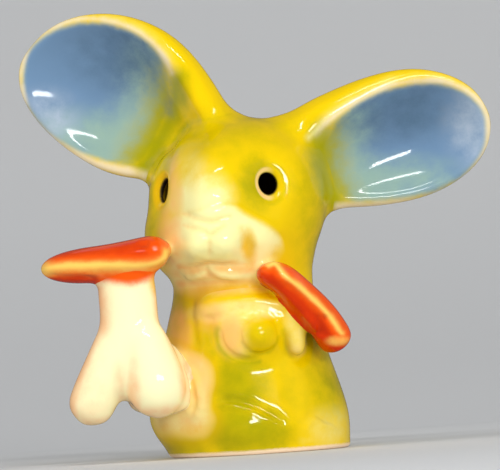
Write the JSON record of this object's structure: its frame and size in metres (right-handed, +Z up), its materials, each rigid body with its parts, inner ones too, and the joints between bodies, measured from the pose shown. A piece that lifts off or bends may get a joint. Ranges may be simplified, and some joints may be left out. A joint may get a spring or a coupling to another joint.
{
  "type": "hare figurine",
  "caption": "Small hollow glazed earthenware hare with pierced eyes and wide dished ears, holding two orange toadstools, that stands on a flat foot ring.",
  "frame": {"origin": "middle of the outline seen from above, on the surface that the foot ring stands on", "axes": "+X across the ears to the viewer's right, -Y towards the viewer whom the hare faces, +Z up"},
  "size_m": [0.0858, 0.0364, 0.0819],
  "materials": {
    "lime_glaze": "airbrushed lime and cream stain under a clear gloss glaze",
    "ear_glaze": "grey-blue stain in the dish, lime on the back, under a clear gloss glaze",
    "orange_glaze": "orange to red stain under a clear gloss glaze",
    "white_glaze": "warm white body under a clear gloss glaze, pink at the edges",
    "cream_glaze": "cream and lime stain under a clear gloss glaze"
  },
  "bodies": {
    "root": {"body_shell": "lime_glaze", "head_shell": "lime_glaze", "left_ear": "ear_glaze", "right_ear": "ear_glaze", "left_cap": "orange_glaze", "left_stem": "white_glaze", "right_cap": "orange_glaze", "arm": "cream_glaze", "paw": "cream_glaze"}
  },
  "joints": []
}
